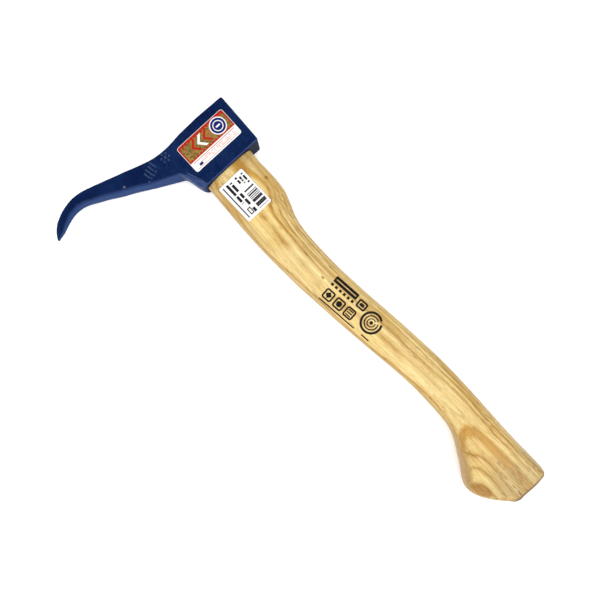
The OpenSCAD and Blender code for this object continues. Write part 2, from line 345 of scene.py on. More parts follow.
front_line = np.vstack([[(x, 23 * eye_k(x) - 0.1) for x in (60, 22.5, 0, -14, -28)], grip[:, :2]])
back_line = np.vstack([[(x, -23 * eye_k(x) + 0.1) for x in (60, 22.5, 0, -14, -28)], grip[:, [0, 2]]])
END = curve([(-377.9, 40), (-377.95, 8), (-377.95, -4), (-377.95, -12), (-377.95, -18), (-377.8, -23), (-377.3, -27), (-376.6, -30.5),
             (-375.6, -33.2), (-373.6, -35.8), (-369.5, -37.8), (-362, -39.5)], 6)
end_sheet = Sheet(np.vstack([[(-330, -40), (-330, 42), (-372, 42)], END]))
grip_sheet = Sheet(np.vstack([front_line, back_line[::-1]]))
_fx = front_line[::-1]
_bx = back_line[::-1]


def front(x):
    return np.interp(x, _fx[:, 0], _fx[:, 1])


def back(x):
    return np.interp(x, _bx[:, 0], _bx[:, 1])


def half_b(x):
    return np.interp(x, HALF_B[:, 0], HALF_B[:, 1])


def handle_field(p):
    x, y, z = p[:, 0], p[:, 1], p[:, 2]
    d = -grip_sheet(x, y)
    a = (front(np.maximum(x, -290.0)) - back(np.maximum(x, -290.0))) / 2
    b = half_b(x)
    foot = 1 - step(-326, -292, x)
    ahead = step(-8, 8, y - 0.35 * (-x - 330))
    r_foot = 8.0 - 1.0 * ahead
    under = (1 - step(-350, -340, x)) * step(-4, 8, y - 24 + 0.7 * (-x - 346))
    r_foot = r_foot + (3.4 - r_foot) * under
    r_foot = r_foot - 2.6 * (1 - step(-376, -352, x)) * (1 - 0.7 * under) * (1 - step(-10, 4, y))
    r = a + (r_foot - a) * foot
    n = 2.6 - 0.35 * foot + 0.25 * step(-60, -34, x) * (1 - step(-30, -26, x))
    t = np.maximum(1 - d / r, 0)
    w = np.abs(z - MID) / b
    rho = (t ** n + w ** n) ** (1 / n) - 1
    f = rho * np.minimum(r, b)
    f = smax(f, x - 22.5, 0.9)
    butt = x < -340
    if butt.any():
        f[butt] = smax(f[butt], end_sheet(x[butt], y[butt]), 4.4 - 0.9 * step(-27, -17, y[butt]) - 2.3 * step(-6, 3, y[butt]))
    near = (np.abs(f) < 1.5) & (x < -30)
    if near.any():
        q = p[near]
        f = f.copy()
        f[near] += 0.05 * (0.5 + 0.5 * noise3(q * np.array([0.35, 1, 1]), 9.0, 21)) + 0.03 * (0.5 + 0.5 * noise3(q, 22.0, 5))
    # kerf for the wooden wedge and slot for the steel one
    top = x > -16
    if top.any():
        q = p[top]
        kerf = np.maximum(np.abs(q[:, 2] - MID) - np.interp(q[:, 0], [-11.55, 22.5], [0.45, 2.55]),
                          np.maximum(np.abs(q[:, 1]) - 20.55, -11.55 - q[:, 0]))
        slot = np.maximum(np.abs(q[:, 1] - 2) - np.interp(q[:, 0], [2.45, 22.5], [0.35, 1.55]),
                          np.maximum(np.abs(q[:, 2] - MID) - 7.55, 2.45 - q[:, 0]))
        g = f[top]
        g = smax(g, -kerf, 0.35)
        f = f.copy()
        f[top] = smax(g, -slot, 0.35)
    return f


def wedge_field(p):
    x, y, z = p[:, 0], p[:, 1], p[:, 2]
    slant = np.interp(x, [-11.5, 22.5], [0.4, 2.5])
    f = smax(np.abs(z - MID) - slant, np.abs(y) - 20.5, 0.5)
    f = smax(f, np.maximum(x - 22.5, -11.5 - x), 0.5)
    slot = np.maximum(np.abs(y - 2) - np.interp(x, [2.45, 22.5], [0.35, 1.55]), np.maximum(np.abs(z - MID) - 7.55, 2.45 - x))
    f = smax(f, -slot, 0.25)
    return f + 0.05 * (0.5 + 0.5 * noise3(p * np.array([0.3, 1, 1]), 2.0, 9))


def cross_field(p):
    x, y, z = p[:, 0], p[:, 1], p[:, 2]
    slant = np.interp(x, [2.5, 22.5], [0.3, 1.5])
    f = smax(np.abs(y - 2) - slant, np.abs(z - MID) - 7.5, 0.7)
    f = smax(f, np.maximum(x - 22.5, 2.5 - x), 0.6)
    return f + 0.03 * (0.5 + 0.5 * noise3(p, 1.6, 13))


def skin_height(field, x, y, low=28.0, high=36.0):
    """The height of a field's upper skin over each place."""
    a, b = np.full(len(x), low), np.full(len(x), high)
    for _ in range(30):
        m = (a + b) / 2
        inside = field(np.stack([x, y, m], 1)) < 0
        a, b = np.where(inside, m, a), np.where(inside, b, m)
    return (a + b) / 2


# ---------------------------------------------------------------- grain
# The year rings of the ash. Each entry is a ring's number and places on the upper skin that it passes, in
# millimetres. Between them the ring number runs smoothly, and it grows with depth in the wood.
DEPTH = 0.42
GRAIN = [
    (0, [(-69.7, 3.9), (-85.7, 3.6), (-101.6, 3.6), (-121.6, 3.9), (-141.6, 5.2), (-157.6, 3.5), (-173.6, 0.7),
            (-189.6, -2.1), (-207.2, -4.6), (-221.6, -4.9)]),
    (0.12, [(-235.2, -4.4)]),
    (0.3, [(-242.5, -5)]),
    (0.5, [(-81.6, 9), (-109.6, 10.2), (-133.6, 11), (-157.6, 8.6), (-181.7, 5.4), (-201.7, 2.2), (-221.7, -0.2),
            (-241.7, -3.4), (-253.6, -7.4), (-269.5, -8.9), (-285.3, -9.7), (-297.1, -8.8), (-297, -13.6),
            (-277.3, -13.7), (-253.5, -11.3), (-229.6, -9.3), (-205.6, -8.1), (-173.6, -3.7), (-149.6, 1.1),
            (-117.6, 0.8), (-85.7, 0.7)]),
    (0.5, [(-57.7, 2.3), (-41.7, 2.3), (-57.6, 10.2), (-39.1, 11.8)]),
    (1, [(-26.9, -6.7), (-35.4, -9.8), (-44.9, -12.8), (-52.9, -13.8), (-60.7, -12.6), (-65.8, -9.8), (-69.6, -5.6),
            (-74.4, -3.6), (-82.4, -2.5), (-101.6, -2), (-121.6, -1.9), (-141.6, -2.5), (-157.6, -4.9),
            (-173.6, -7.4), (-189.6, -10), (-205.6, -12.2), (-221.6, -13.7), (-237.6, -15.3), (-253.5, -16.5),
            (-273.4, -19.3), (-293.2, -20.8), (-316.5, -21.4), (-340, -23), (-367.8, -24.5)]),
    (2, [(-67.1, -11.8), (-76.7, -9), (-88.7, -6.6), (-101.6, -5.8), (-121.6, -5.6), (-141.6, -6.2),
            (-165.7, -10.6), (-191.4, -15.6), (-213.8, -18.4), (-237.8, -20.6), (-261.8, -22.3), (-293.5, -23.8),
            (-316.6, -24.3), (-340.1, -25.4), (-367.8, -26.8)]),
    (3, [(-57.8, -19.7), (-66, -17.2), (-76.6, -12.5), (-88.6, -9.3), (-101.5, -8.3), (-125.6, -8.5),
            (-141.6, -9.7), (-165.7, -13.6), (-191.5, -17.7), (-214, -20.7), (-238, -22.9), (-262, -24.7),
            (-293.9, -26.2), (-317, -26.5), (-340.5, -27.4), (-367.9, -28.5)]),
    (4, [(-69.1, -18.5), (-81.2, -13.9), (-93.3, -11.2), (-105.4, -10.8), (-129.5, -11.3), (-141.6, -12.3),
            (-191.7, -19.6), (-214.3, -22.7), (-238.3, -24.9), (-262.4, -26.7), (-294.3, -27.8), (-317.5, -28.1),
            (-341.3, -29)]),
    (1, [(-43.4, 19), (-55.5, 19), (-68.9, 21.4), (-93.1, 21.5), (-109.3, 19.8), (-125.5, 17.8), (-141.6, 15.9),
            (-165.8, 13.5), (-190.1, 10.9), (-208.7, 8.3), (-230.4, 4.4), (-246.5, 1.8), (-262.4, -0.7),
            (-274.3, -1.5), (-288, -1.5), (-298.8, 0.2), (-306.8, 2.8), (-315.5, 6.2)]),
    (0, [(-316.3, 8.6), (-309.7, 2.1), (-306.8, -2.5), (-306.1, -6.4), (-308.7, -9.6), (-314.9, -12.4),
            (-324.3, -13.7), (-340, -14.5), (-355.9, -15.7), (-372.6, -15.8)]),
    (-1, [(-328.6, 11.9), (-323.5, 8.6), (-322.6, 5.1), (-324.3, 2.3), (-329, -0.1), (-340, -1.9), (-355.8, -1.7),
            (-371.7, -1)]),
    (-2, [(-338.8, 18), (-332.7, 13.4), (-331.9, 9.5), (-334.5, 6.4), (-340, 5.1), (-351.9, 4), (-359.8, 4),
            (-367.1, 6)]),
    (-3, [(-342.6, 15.9), (-345.5, 12.4), (-351.9, 11.2), (-357.6, 12.3), (-362.9, 15.4), (-356.3, 19),
            (-347.9, 19.9)]),
    (-3.4, [(-351.2, 15.5)]),
    (-2.5, [(-338.2, 14.3), (-349.5, 7.2), (-364.3, 9.5), (-341.3, 20.6)]),
    (-1.5, [(-328.5, 10.3), (-336.9, 1.6), (-355.8, 1.2), (-370.1, 2.4)]),
    (-0.5, [(-314.9, 2.3), (-315.7, -7.1), (-340, -8.7), (-363.8, -8.7), (-371.8, -8.7)]),
    (0.6, [(-320.4, -18.2), (-340, -19.4), (-363.8, -20.6)]),
]


class Rings:
    SQUEEZE = np.array([0.5, 1.0])

    def __init__(self):
        at = np.array([p for _, ps in GRAIN for p in ps], float)
        level = np.array([n for n, ps in GRAIN for _ in ps], float)
        z = skin_height(handle_field, at[:, 0], at[:, 1], low=MID)
        level = level - DEPTH * (MID + half_b(at[:, 0]) - z)
        at = np.vstack([at, TANG_RINGS[:, :2]])
        level = np.r_[level, TANG_RINGS[:, 2]]
        q = at * self.SQUEEZE
        d = np.linalg.norm(q[:, None] - q[None], axis=2)
        k = d * d * np.log(d + 1e-9)
        n = len(q)
        a = np.zeros((n + 3, n + 3))
        a[:n, :n] = k + 6.0 * np.eye(n)
        a[:n, n:] = np.c_[np.ones(n), q]
        a[n:, :n] = a[:n, n:].T
        self.q, self.w = q, np.linalg.solve(a, np.r_[level, 0, 0, 0])

    def __call__(self, p, normals):
        """The ring number at each point of a skin, and the width in millimetres of one ring on the skin there."""
        at = p[:, :2] * self.SQUEEZE
        r = self.w[-3] + at @ self.w[-2:]
        g = np.tile(self.w[-2:], (len(at), 1))
        for i in range(len(self.q)):
            off = at - self.q[i]
            d2 = (off ** 2).sum(1)
            far = np.log(d2 + 1e-12)
            r += self.w[i] * 0.5 * d2 * far
            g += (self.w[i] * (far + 1))[:, None] * off
        swell = (half_b(p[:, 0] + 0.5) - half_b(p[:, 0] - 0.5)) * DEPTH
        g = np.column_stack([g * self.SQUEEZE, np.full(len(at), -DEPTH)])
        g[:, 0] += swell
        g -= (g * normals).sum(1)[:, None] * normals
        pitch = 1 / np.maximum(np.linalg.norm(g, axis=1), 0.02)
        return r + DEPTH * (MID + half_b(p[:, 0]) - p[:, 2]), pitch


# Ring numbers inside the eye, where the tang's end shows: x, y, number at the tang's own height
TANG_RINGS = np.array([(-8, -16, 0.6), (-8, 0, 0.35), (-8, 16, 0.8), (12, -20, 1.5), (12, -8, 0.6), (12, 6, 0.3),
                       (12, 20, 1.2), (30, -20, 1.7), (30, -6, 0.6), (30, 8, 0.4), (30, 20, 1.3)], float)


# ---------------------------------------------------------------- shader sums
class Value:
    """A node's output that can be added, multiplied and so on, each sum being a node."""

    def __init__(self, tree, socket):
        self.tree, self.socket = tree, socket

    def sum(self, op, other=None, third=None, turn=False):
        n = self.tree.nodes.new("ShaderNodeMath")
        n.operation = op
        ins = [self, other, third]
        if turn:
            ins = [other, self, third]
        for i, x in enumerate(ins):
            if x is not None:
                plug(self.tree, n.inputs[i], x)
        return Value(self.tree, n.outputs[0])

    def __add__(self, o): return self.sum("ADD", o)
    def __radd__(self, o): return self.sum("ADD", o)
    def __sub__(self, o): return self.sum("SUBTRACT", o)
    def __rsub__(self, o): return self.sum("SUBTRACT", o, turn=True)
    def __mul__(self, o): return self.sum("MULTIPLY", o)
    def __rmul__(self, o): return self.sum("MULTIPLY", o)
    def __truediv__(self, o): return self.sum("DIVIDE", o)
    def __neg__(self): return self.sum("MULTIPLY", -1.0)
    def __pow__(self, o): return self.sum("POWER", o)
    def __abs__(self): return self.sum("ABSOLUTE")


def plug(tree, socket, x):
    if isinstance(x, Value):
        tree.links.new(x.socket, socket)
    elif isinstance(x, bpy.types.NodeSocket):
        tree.links.new(x, socket)
    elif socket.type == "RGBA" and len(x) == 3:
        socket.default_value = (*x, 1.0)
    else:
        socket.default_value = x


def least(a, b): return a.sum("MINIMUM", b)
def most(a, b): return a.sum("MAXIMUM", b)
def floor(a): return a.sum("FLOOR")
def fract(a): return a.sum("FRACT")
def sine(a): return a.sum("SINE")
def root(a): return a.sum("SQRT")


def ramp(x, a, b, lo=0.0, hi=1.0, smooth=True):
    """From lo to hi as x goes from a to b."""
    n = x.tree.nodes.new("ShaderNodeMapRange")
    n.interpolation_type = "SMOOTHSTEP" if smooth else "LINEAR"
    n.clamp = True
    plug(x.tree, n.inputs["Value"], x)
    for name, v in (("From Min", a), ("From Max", b), ("To Min", lo), ("To Max", hi)):
        plug(x.tree, n.inputs[name], v)
    return Value(x.tree, n.outputs["Result"])


def mix(tree, a, b, t):
    """Colour a turning to colour b with t."""
    n = tree.nodes.new("ShaderNodeMix")
    n.data_type = "RGBA"
    n.clamp_factor = True
    plug(tree, n.inputs[0], t)
    plug(tree, n.inputs[6], a)
    plug(tree, n.inputs[7], b)
    return Value(tree, n.outputs[2])


def blend(a, b, t):
    """Number a turning to number b with t."""
    return a + (b - a) * t if isinstance(a, Value) else (b - a) * t + a


def point(tree, x, y, z=0.0):
    n = tree.nodes.new("ShaderNodeCombineXYZ")
    for i, c in enumerate((x, y, z)):
        plug(tree, n.inputs[i], c)
    return Value(tree, n.outputs[0])


def split(v):
    n = v.tree.nodes.new("ShaderNodeSeparateXYZ")
    plug(v.tree, n.inputs[0], v)
    return [Value(v.tree, n.outputs[i]) for i in range(3)]


def scaled(v, x, y, z):
    n = v.tree.nodes.new("ShaderNodeVectorMath")
    n.operation = "MULTIPLY"
    plug(v.tree, n.inputs[0], v)
    n.inputs[1].default_value = (x, y, z)
    return Value(v.tree, n.outputs[0])


def shifted(v, w):
    n = v.tree.nodes.new("ShaderNodeVectorMath")
    n.operation = "ADD"
    plug(v.tree, n.inputs[0], v)
    plug(v.tree, n.inputs[1], w)
    return Value(v.tree, n.outputs[0])


def noise(v, scale, detail=2.0, rough=0.5, lean=0.0, dims="3D"):
    n = v.tree.nodes.new("ShaderNodeTexNoise")
    n.noise_dimensions = dims
    if dims == "1D":
        plug(v.tree, n.inputs["W"], v)
    else:
        plug(v.tree, n.inputs["Vector"], v)
    n.inputs["Scale"].default_value = scale
    n.inputs["Detail"].default_value = detail
    n.inputs["Roughness"].default_value = rough
    n.inputs["Distortion"].default_value = lean
    return Value(v.tree, n.outputs["Fac"])


def cells(v, scale, spread=1.0, feature="F1"):
    n = v.tree.nodes.new("ShaderNodeTexVoronoi")
    n.feature = feature
    plug(v.tree, n.inputs["Vector"], v)
    n.inputs["Scale"].default_value = scale
    n.inputs["Randomness"].default_value = spread
    return Value(v.tree, n.outputs["Distance"])


def chance(x):
    """A fixed random number from 0 to 1 for each value of x."""
    n = x.tree.nodes.new("ShaderNodeTexWhiteNoise")
    n.noise_dimensions = "1D"
    plug(x.tree, n.inputs["W"], x)
    return Value(x.tree, n.outputs["Value"])


def carried(tree, name, vector=False):
    n = tree.nodes.new("ShaderNodeAttribute")
    n.attribute_type = "GEOMETRY"
    n.attribute_name = name
    return Value(tree, n.outputs["Vector" if vector else "Fac"])


def start(name):
    """A new material: its tree, its main shader, and the place on the object in millimetres."""
    m = bpy.data.materials.new(name)
    m.use_nodes = True
    tree = m.node_tree
    tree.nodes.clear()
    out = tree.nodes.new("ShaderNodeOutputMaterial")
    shader = tree.nodes.new("ShaderNodeBsdfPrincipled")
    tree.links.new(shader.outputs[0], out.inputs[0])
    coord = tree.nodes.new("ShaderNodeTexCoord")
    mm = scaled(Value(tree, coord.outputs["Object"]), 1000.0, 1000.0, 1000.0)
    return m, tree, shader, mm


def relief(tree, shader, height, deep):
    """Bump from a height, deep millimetres at its full range."""
    n = tree.nodes.new("ShaderNodeBump")
    n.inputs["Strength"].default_value = 1.0
    n.inputs["Distance"].default_value = deep * 0.001
    plug(tree, n.inputs["Height"], height)
    tree.links.new(n.outputs[0], shader.inputs["Normal"])
    tree.links.new(n.outputs[0], shader.inputs["Coat Normal"])


def turned(x, y, cx, cy, degrees):
    """x and y measured from (cx, cy), along an axis at that angle and across it."""
    c, s = math.cos(math.radians(degrees)), math.sin(math.radians(degrees))
    dx, dy = x - cx, y - cy
    return dx * c + dy * s, dy * c - dx * s


def box(x, y, cx, cy, w, h, r=0.0):
    """Distance from a rectangle w by h with corners of radius r, negative inside."""
    qx, qy = abs(x - cx) - (w / 2 - r), abs(y - cy) - (h / 2 - r)
    ox, oy = most(qx, 0.0), most(qy, 0.0)
    return root(ox * ox + oy * oy) + least(most(qx, qy), 0.0) - r


def disc(x, y, cx, cy, r):
    dx, dy = x - cx, y - cy
    return root(dx * dx + dy * dy) - r


def inside(d, soft=0.12):
    """1 inside a shape, 0 outside, over a soft edge."""
    return ramp(d, -soft, soft, 1.0, 0.0)


def ringed(d, w, soft=0.12):
    """A line w wide along a shape's outline, just inside it."""
    return inside(abs(d + w / 2) - w / 2, soft)


# ---------------------------------------------------------------- finishes
def paint():
    """Blue paint over forged steel: a fine orange-peel skin, thin on the edges, with a few small chips. Light and shade
    are painted in too: faces and edges turned toward the handle are lighter, and edges turned away are darker.
    """
    m, t, s, mm = start("head_paint")
    edge = carried(t, "edge")
    steep = carried(t, "steep")
    under = carried(t, "under")
    mark, flank, rib = carried(t, "mark"), carried(t, "flank"), carried(t, "rib")
    x, y, z = split(mm)
    cloud = noise(mm, 0.05, 3.0, 0.55)
    forge = noise(mm, 0.22, 3.0, 0.55)
    peel = noise(mm, 0.75, 2.0, 0.5)
    hammered = cells(shifted(mm, point(t, forge * 1.6, peel * 1.2, 0.0)), 0.36)
    grit = noise(mm, 3.4, 2.0, 0.6)
    wear_and_highlight = ramp(edge + (forge - 0.5) * 0.7 + (grit - 0.5) * 0.35, 0.86, 1.12) * ramp(under, 0.05, 0.35, 0.12, 1.0)
    chip = ramp(edge * 1.1 + (noise(mm, 0.13, 1.0, 0.5) - 0.5) * 2.2 + (grit - 0.5) * 0.5, 1.45, 1.55)
    colour = mix(t, (0.0018, 0.0086, 0.045), (0.0040, 0.0145, 0.064), ramp(cloud, 0.36, 0.66))
    mottle = ramp(noise(mm, 0.85, 3.0, 0.7), 0.44, 0.66)
    colour = mix(t, colour, (0.0105, 0.0300, 0.104), mottle * ramp(forge, 0.35, 0.6, 0.10, 0.60) * ramp(y, 34.0, 58.0, 1.0, 0.34))
    # painted light: faces turned toward the handle are a lighter blue
    colour = mix(t, colour, (0.0135, 0.043, 0.150), ramp(under, 0.22, 0.85) * 0.9)
    # painted light: the flank's faces turned toward the fill light are a lighter blue
    colour = mix(t, colour, (0.014, 0.042, 0.140), ramp(flank, 0.15, 0.75) * ramp(forge, 0.35, 0.6, 0.45, 0.95))
    # painted highlight along the crests of the two ribs
    colour = mix(t, colour, (0.060, 0.105, 0.240), ramp(rib, 0.35, 0.95) * ramp(peel, 0.3, 0.6, 0.3, 0.9))
    # painted shade: edges that do not face the handle are darkened
    shaded_edge = ramp(edge, 0.70, 0.98) * ramp(under, 0.0, 0.25, 1.0, 0.0)
    colour = mix(t, colour, (0.0009, 0.0035, 0.014), shaded_edge * 0.95)
    # lighter edges: wear, and a painted highlight that is strongest on the edges facing the handle
    colour = mix(t, colour, (0.034, 0.066, 0.165), wear_and_highlight * 0.55)
    # the face round the handle: its lower edge is lighter, from wear and a painted highlight, and painted shade darkens
    # the face below it beside the wood
    low = ramp(x, -21.2, -22.6)
    colour = mix(t, colour, (0.085, 0.105, 0.235), ramp(edge, 0.62, 0.9) * ramp(under, 0.12, 0.3) * ramp(under, 0.85, 0.6) * low * 0.8)
    colour = mix(t, colour, (0.007, 0.009, 0.022), ramp(under, 0.75, 0.95) * low * ramp(z, 31.0, 29.5) * 0.9)
    dust = ramp(noise(mm, 1.7, 3.0, 0.65), 0.62, 0.78) * ramp(forge, 0.4, 0.6)
    colour = mix(t, colour, (0.05, 0.085, 0.19), dust * 0.22)
    # lighter raised die marks: wear on their tops, and painted glints
    colour = mix(t, colour, (0.060, 0.105, 0.225), ramp(mark, 0.25, 0.8) * ramp(grit, 0.3, 0.6) * 0.6)
    chip = most(chip, ramp(disc(x, y, 19.3, 73.6, 0.9) + (grit - 0.5) * 1.6, 0.3, -0.3) * ramp(z, 16.0, 18.0))
    colour = mix(t, colour, (0.13, 0.15, 0.19), chip)
    plug(t, s.inputs["Base Color"], colour)
    plug(t, s.inputs["Metallic"], chip * 0.25)
    plug(t, s.inputs["Roughness"], ramp(cloud * 0.6 + forge * 0.4, 0.3, 0.7, 0.22, 0.32) + wear_and_highlight * 0.10 + dust * 0.12)
    s.inputs["Specular IOR Level"].default_value = 0.0
    plug(t, s.inputs["Coat Weight"], 0.32 - most(shaded_edge * 0.28, ramp(under, 0.3, 0.8) * 0.22))
    s.inputs["Coat Roughness"].default_value = 0.15
    s.inputs["Coat IOR"].default_value = 1.5
    rough_side = most(ramp(steep, 0.1, 0.6, 0.35, 1.0), ramp(y, 24.0, 50.0, 0.35, 1.0))
    nub = ramp(cells(shifted(mm, point(t, peel * 0.8, forge * 0.8, 0.0)), 0.42), 0.30, 0.06) * ramp(forge, 0.46, 0.60) * rough_side
    relief(t, s, (forge * 0.8 + hammered * 0.2 * rough_side + peel * 0.5) * rough_side + nub * 0.7 + grit * 0.08 - chip * 0.25, 0.30)
    return m


def stamp_mask(t, x, y, z):
    """The print on the grip: bars, growth rings and small framed shapes."""
    u, v = turned(x, y, -176.3, -2.3, 188.0)
    ink = inside(box(u, v, -16.6, 8.3, 23.6, 5.6, 0.5))
    ink = ink * (1.0 - inside(box(u, v, -16.6, 8.3, 20.4, 0.8, 0.3)))
    for i in range(6):
        ink = most(ink, inside(box(u, v, -27.1 + 4.2 * i, 3.1, 2.3, 2.3, 0.3)))
    # growth rings
    rings = inside(disc(u, v, 16.6, 0.2, 1.5))
    for r, w in ((3.7, 0.9), (6.2, 1.1), (9.4, 2.0)):
        rings = most(rings, ringed(disc(u, v, 16.6, 0.2, r), w))
    cut = inside(gap(u, v))
    ink = most(ink, rings * (1.0 - cut))
    # framed shapes
    for cx, cy in ((-23.6, -5.4), (-12.6, -5.4), (-1.6, -5.4)):
        ink = most(ink, ringed(box(u, v, cx, cy, 9.2, 9.2, 2.0), 1.5))
    ink = most(ink, inside(abs(u + 23.6) + abs(v + 5.4) - 2.9))
    ink = most(ink, inside(disc(u, v, -12.6, -5.4, 2.5)))
    for dy in (-2.2, 0.0, 2.2):
        ink = most(ink, inside(box(u, v, -1.6, -5.4 + dy, 5.0, 1.1, 0.3)))
    # a framed plain block over the third frame, and a rule under all
    ink = most(ink, ringed(box(u, v, 1.8, 6.0, 9.0, 7.4, 1.6), 1.6))
    ink = most(ink, inside(box(u, v, 1.8, 6.0, 4.2, 2.8, 0.8)))
    ink = most(ink, inside(box(u, v, -9.4, -12.1, 37.4, 1.1, 0.2)))
    ink = most(ink, inside(box(u, v, 20.8, -12.1, 8.0, 1.1, 0.2)))
    return ink * ramp(z, 18.0, 20.0)


def gap(u, v):
    """A narrow gap that opens outward from the middle of the growth rings."""
    a, b = turned(u, v, 16.6, 0.2, 38.0)
    return most(abs(b) - a * 0.16 - 0.15, 1.6 - a)


def ash():
    """Pale ash under a thin clear lacquer. The ring number and the fibre's own axes are carried by the mesh."""
    m, t, s, mm = start("handle_ash")
    x, y, z = split(mm)
    g = carried(t, "grain", True)
    cross = carried(t, "cross")
    steep = carried(t, "steep")
    wave = noise(scaled(g, 0.020, 0.14, 0.14), 1.0, 2.0) - 0.5
    shake = noise(scaled(g, 0.07, 1.0, 1.0), 1.0, 2.0) - 0.5
    r = carried(t, "ring") + wave * 0.16 + shake * 0.07
    k = floor(r)
    fr = r - k
    heavy = ramp(chance(k + 0.37), 0.0, 1.0, 0.6, 1.0, smooth=False)
    next_heavy = ramp(chance(k + 1.37), 0.0, 1.0, 0.6, 1.0, smooth=False)
    along = ramp(noise(scaled(g, 0.016, 0.11, 0.11), 1.0, 2.0), 0.3, 0.7, 0.6, 1.1)
    pitch = least(carried(t, "pitch"), 9.0)
    after, before = fr * -1.0, fr - 1.0
    streak = (after * most(pitch * 1.15, 7.0)).sum("EXPONENT") * heavy + (before * most(pitch * 0.70, 4.2)).sum("EXPONENT") * next_heavy
    streak = least(streak * along, 1.0)
    band = least(streak * 1.5, 1.0)
    big = noise(scaled(g, 0.011, 0.06, 0.06), 1.0, 2.0)
    fibre = noise(scaled(g, 0.045, 1.5, 1.5), 1.0, 4.0, 0.65)
    hair = noise(scaled(g, 0.12, 2.4, 2.4), 1.0, 2.0, 0.6)
    thread = noise(scaled(g, 0.022, 1.15, 1.15), 1.0, 2.0, 0.6)
    glow = (after * most(pitch * 0.55, 4.5)).sum("EXPONENT") + (before * most(pitch * 0.30, 2.6)).sum("EXPONENT")
    glow = least(glow * ramp(along, 0.4, 1.1, 0.5, 1.0) * ramp(pitch, 1.6, 5.0, 0.45, 1.0), 1.0)
    # the broad brown arch where the face of the grip turns into the swell
    arch = ramp(abs(r + 0.14 + (fibre - 0.5) * 0.22), 0.50, 0.18) * ramp(x, -290.0, -304.0)
    streak = streak * (1.0 - arch * 0.55)
    # and the brown band that runs from the collar round the sticker and down the grip
    sweep = ramp(abs(r - 0.94 + (fibre - 0.5) * 0.12), 0.34, 0.08) * ramp(x, -160.0, -115.0) * ramp(y, 12.0, 4.0, 0.45, 1.0)
    vein = ramp(abs(noise(scaled(g, 0.0085, 0.40, 0.40), 1.0, 2.0) - 0.5), 0.070, 0.01)
    vein = most(vein, ramp(abs(noise(shifted(scaled(g, 0.012, 0.62, 0.62), point(t, 9.0, 5.0, 2.0)), 1.0, 2.0) - 0.5), 0.08, 0.0) * 0.7)
    stripe = ramp(noise(scaled(g, 0.009, 0.30, 0.30), 1.0, 2.0), 0.50, 0.62)
    pore = ramp(cells(scaled(g, 0.15, 1.2, 1.2), 1.0), 0.48, 0.22) * ramp(noise(scaled(g, 0.05, 0.4, 0.4), 1.0), 0.35, 0.6)
    colour = mix(t, (0.905, 0.785, 0.420), (0.82, 0.660, 0.282), ramp(big * 0.6 + fibre * 0.4, 0.38, 0.62))
    colour = mix(t, colour, (0.73, 0.56, 0.235), ramp(x, -190.0, -330.0) * ramp(big, 0.3, 0.7, 0.25, 0.60))
    colour = mix(t, colour, (0.52, 0.43, 0.215), ramp(x, -118.0, -74.0) * (ramp(abs(y - 3.0), 9.0, 17.0, 0.0, 0.55) + ramp(y, 13.0, 19.0, 0.0, 0.30)))
    # painted shade: the handle's steep sides are browner, and darkest at the very edges
    colour = mix(t, colour, (0.66, 0.45, 0.140), ramp(steep, 0.03, 0.50) * 0.26)
    colour = mix(t, colour, (0.27, 0.185, 0.080), ramp(steep, 0.42, 0.85) * 0.72)
    # the butt's end and rounded rim are browner: the end grain's own colour, and painted shade
    colour = mix(t, colour, (0.40, 0.235, 0.092), most(ramp(cross, 0.12, 0.6), ramp(carried(t, "rim"), 0.08, 0.34) * 0.55) * ramp(fibre, 0.2, 0.8, 0.80, 0.98))
    colour = mix(t, colour, (0.68, 0.46, 0.140), stripe * ramp(pitch, 2.0, 7.0, 0.55, 0.30))
    colour = mix(t, colour, (0.60, 0.335, 0.060), most(glow * 0.80, sweep * 0.95))
    colour = mix(t, colour, (0.54, 0.280, 0.056), arch * ramp(fibre, 0.35, 0.65, 0.78, 0.98))
    colour = mix(t, colour, (0.33, 0.168, 0.032), streak * 0.92)
    colour = mix(t, colour, (0.97, 0.84, 0.55), ramp(fibre, 0.5, 0.7) * ramp(fr, 0.3, 0.8) * (1.0 - ramp(steep, 0.1, 0.5)) * (1.0 - most(arch, sweep)) * 0.55)
    colour = mix(t, colour, (0.33, 0.182, 0.036), vein * ramp(along, 0.5, 1.1, 0.45, 0.95) * ramp(pitch, 2.0, 7.5, 1.0, 0.45))
    colour = mix(t, colour, (0.44, 0.262, 0.058), ramp(thread, 0.50, 0.64) * ramp(pitch, 2.0, 7.5, 0.62, 0.34))
    colour = mix(t, colour, (0.47, 0.29, 0.085), ramp(hair, 0.50, 0.68) * 0.42)
    # painted sheen: a paler stretch in the middle of the grip
    colour = mix(t, colour, (0.95, 0.87, 0.58), ramp(abs(x + 126.0), 36.0, 12.0) * ramp(abs(y - 9.0), 17.0, 8.0) * 0.07)
    # dark fibres where the arch runs out at the butt
    comb = most(arch, ramp(abs(y + 9.0), 9.0, 4.0)) * ramp(x, -324.0, -352.0)
    colour = mix(t, colour, (0.31, 0.19, 0.075), comb * ramp(noise(scaled(g, 0.045, 0.95, 0.95), 1.0, 2.0, 0.6), 0.47, 0.58) * 0.72)
